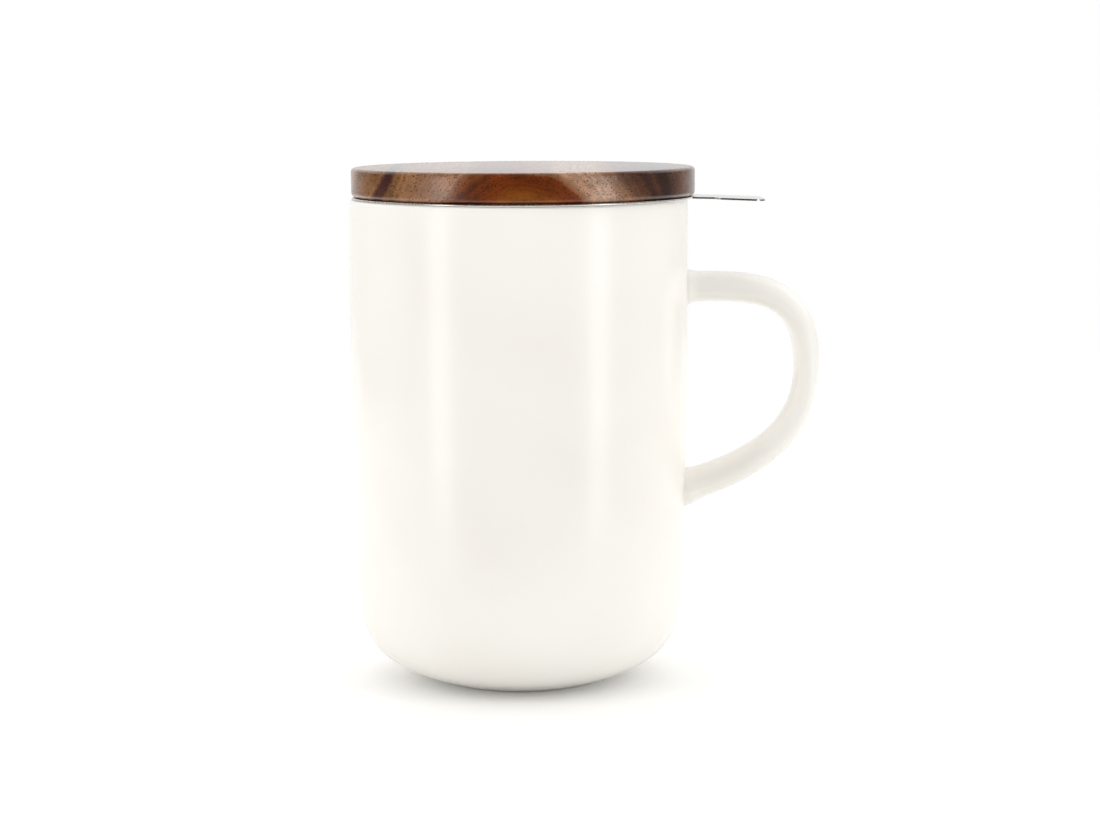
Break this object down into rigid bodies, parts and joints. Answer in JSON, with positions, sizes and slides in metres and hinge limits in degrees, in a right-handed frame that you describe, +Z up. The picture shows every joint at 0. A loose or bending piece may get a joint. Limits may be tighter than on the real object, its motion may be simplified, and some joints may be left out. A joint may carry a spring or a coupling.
{
  "type": "lidded tea mug with infuser",
  "caption": "Tall glazed stoneware tea mug with a bowed side handle, a hanging perforated steel infuser with a pull tab, and a flat turned wooden lid with a silicone seal.",
  "frame": {"origin": "on the mug's axis, in the plane of the foot ring that it stands on", "axes": "+Z up along the mug's axis, +X towards the handle and the infuser's pull tab"},
  "size_m": [0.119, 0.0864, 0.1305],
  "materials": {
    "glaze": "satin glaze",
    "steel": "satin",
    "acacia": "oiled",
    "silicone": "matt"
  },
  "bodies": {
    "mug": {"mug_wall": "glaze", "mug_base": "glaze", "mug_handle": "glaze"},
    "infuser": {"infuser_flange": "steel", "strainer_wall": "steel", "strainer_floor": "steel"},
    "lid": {"lid_disc": "acacia", "lid_seal": "silicone"}
  },
  "joints": [
    {"name": "infuser_lift", "type": "slide", "parent": "mug", "child": "infuser", "axis": [0, 0, 1], "range_m": [0, 0.12]},
    {"name": "lid_lift", "type": "slide", "parent": "infuser", "child": "lid", "axis": [0, 0, 1], "range_m": [0, 0.06]}
  ]
}
